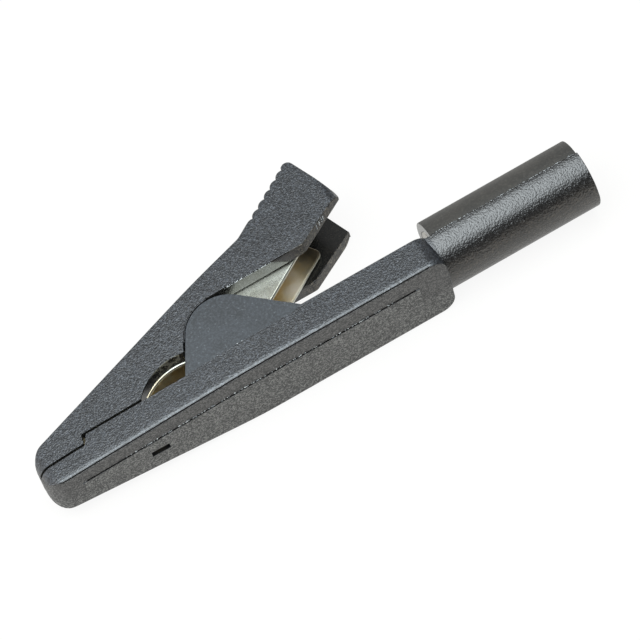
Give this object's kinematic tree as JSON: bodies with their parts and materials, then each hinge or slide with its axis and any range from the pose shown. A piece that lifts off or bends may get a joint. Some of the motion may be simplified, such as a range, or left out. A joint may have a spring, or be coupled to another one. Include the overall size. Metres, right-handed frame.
{
  "type": "insulated test clip",
  "caption": "Small insulated spring clip: toothed metal jaws in moulded shells, a ribbed thumb lever and a round rear socket that takes a 2 mm test plug.",
  "frame": {"origin": "centre of the socket mouth at the rear of the sleeve", "axes": "+X leaves the socket along its axis, so the nose points to -X; +Y points from the body to the lever in the plane in which the jaws open; +Z crosses the width and is up while the clip lies on its side"},
  "size_m": [0.042, 0.0131, 0.006],
  "materials": {
    "body_plastic": "fine grain, satin cheeks",
    "lever_plastic": "fine grain",
    "plated_sheet": "nickel plate with rounded cut edges",
    "rivet_steel": "plain",
    "spring_steel": "drawn wire",
    "contact_brass": "turned"
  },
  "bodies": {
    "clip_body": {"body_shell": "body_plastic", "lower_jaw": "plated_sheet", "pivot_rivet": "rivet_steel", "torsion_spring": "spring_steel", "socket_contact": "contact_brass"},
    "lever": {"lever_shell": "lever_plastic", "upper_jaw": "plated_sheet"}
  },
  "joints": [
    {"name": "lever_pivot", "type": "hinge", "parent": "clip_body", "child": "lever", "pos_m": [-0.0265, 0.0013, 0], "axis": [0, 0, -1], "range_deg": [0, 27], "stiffness_Nm_per_rad": 0.03, "springref_deg": -38.39, "deforming": ["torsion_spring"]}
  ]
}
